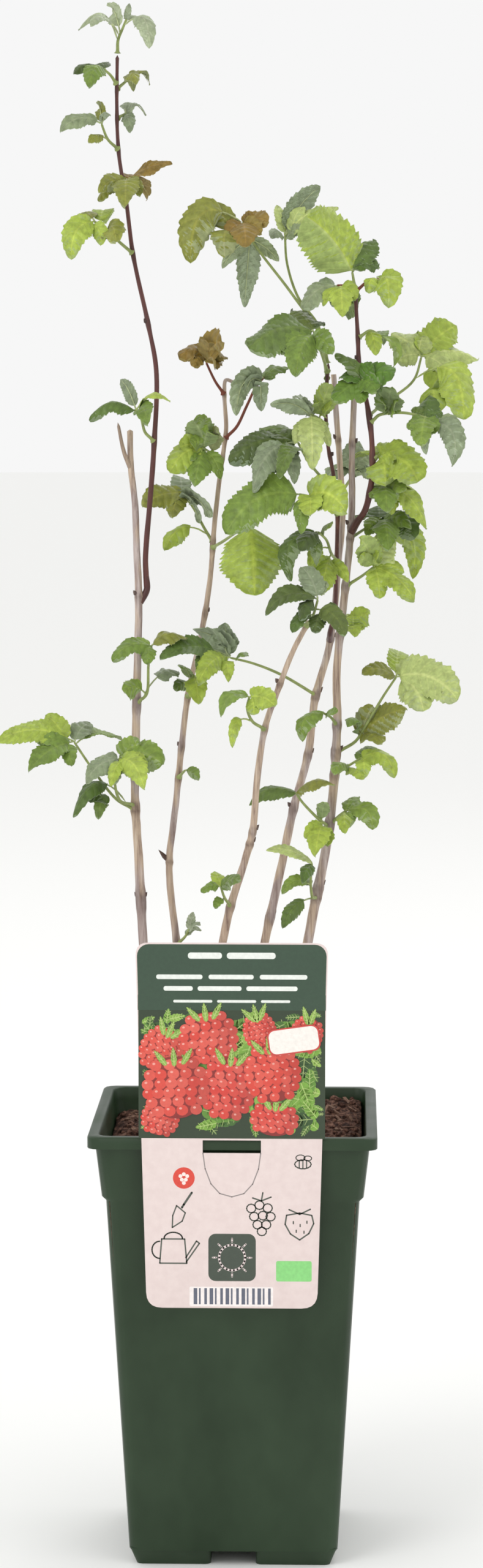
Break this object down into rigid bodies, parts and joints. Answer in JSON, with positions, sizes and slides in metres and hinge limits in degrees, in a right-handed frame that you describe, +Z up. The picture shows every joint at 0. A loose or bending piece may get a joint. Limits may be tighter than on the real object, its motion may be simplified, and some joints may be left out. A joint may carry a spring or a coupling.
{
  "type": "potted raspberry plant",
  "caption": "Young raspberry plant with leafy canes in a deep square nursery pot, with a plain printed tag hooked over the rim.",
  "frame": {"origin": "on the floor under the centre of the square pot", "axes": "+Z up along the canes, +X to the right seen from the tag's side, +Y away from the tag"},
  "size_m": [0.2008, 0.121, 0.6534],
  "materials": {
    "pot_plastic": "satin",
    "potting_soil": "matte",
    "tag_card": "satin",
    "cane_bark": "matte",
    "shoot_bark": "satin",
    "leaf": "matte"
  },
  "bodies": {
    "root": {"pot": "pot_plastic", "soil": "potting_soil", "card": "tag_card", "cane_a": "cane_bark", "cane_b": "cane_bark", "cane_c": "cane_bark", "cane_d": "cane_bark", "cane_e": "cane_bark", "shoot_a": "shoot_bark", "shoot_d": "shoot_bark", "shoot_e": "shoot_bark", "leaf_a01": "leaf", "leaf_a02": "leaf", "leaf_a03": "leaf", "leaf_a04": "leaf", "leaf_a05": "leaf", "leaf_a06": "leaf", "leaf_a07": "leaf", "leaf_a08": "leaf", "leaf_a09": "leaf", "leaf_a10": "leaf", "leaf_a11": "leaf", "leaf_b01": "leaf", "leaf_b02": "leaf", "leaf_b03": "leaf", "leaf_b04": "leaf", "leaf_b05": "leaf", "leaf_b06": "leaf", "leaf_b07": "leaf", "leaf_b08": "leaf", "leaf_c01": "leaf", "leaf_c02": "leaf", "leaf_c03": "leaf", "leaf_d01": "leaf", "leaf_d02": "leaf", "leaf_d03": "leaf", "leaf_d04": "leaf", "leaf_d05": "leaf", "leaf_d06": "leaf", "leaf_d07": "leaf", "leaf_d08": "leaf", "leaf_d09": "leaf", "leaf_e01": "leaf", "leaf_e02": "leaf", "leaf_e03": "leaf", "leaf_e04": "leaf", "leaf_e05": "leaf", "leaf_e06": "leaf", "leaf_e07": "leaf", "leaf_e08": "leaf", "leaf_e09": "leaf", "leaf_e10": "leaf", "leaf_e11": "leaf", "leaf_e12": "leaf", "leaf_e13": "leaf", "leaf_e14": "leaf", "leaf_e15": "leaf", "leaf_e16": "leaf", "leaf_e17": "leaf", "leaf_e18": "leaf"}
  },
  "joints": []
}
